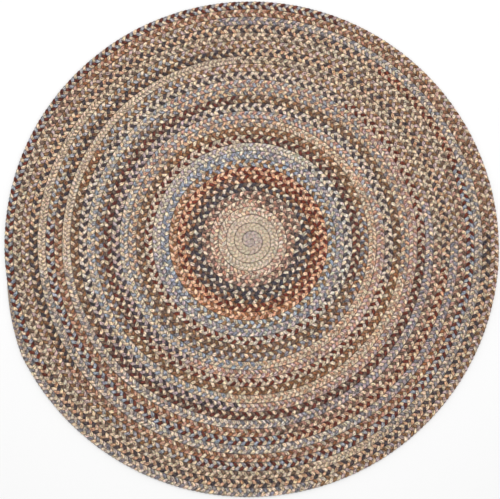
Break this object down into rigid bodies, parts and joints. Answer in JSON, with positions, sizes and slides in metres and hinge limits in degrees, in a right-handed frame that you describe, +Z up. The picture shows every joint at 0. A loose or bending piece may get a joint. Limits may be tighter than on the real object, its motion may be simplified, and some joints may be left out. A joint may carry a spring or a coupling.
{
  "type": "round braided rug",
  "caption": "Flat round rug: one multicoloured wool plait wound from the centre into a spiral and laced row to row, with ribbed rows and a thin tapered tail at the rim.",
  "frame": {"origin": "on the floor, under the centre of the spiral, at the middle of the flat underside", "axes": "+Z up through the rug's thickness; +X to the right and +Y away from the viewer of the picture; the plait winds outward clockwise seen from above and its tail ends near -X, a little towards -Y"},
  "size_m": [1.6718, 1.6856, 0.01],
  "materials": {
    "wool_plait": "matte plaited wool in browns, creams, peach, maroon, slate and light blue"
  },
  "bodies": {
    "root": {"wound_plait": "wool_plait"}
  },
  "joints": []
}
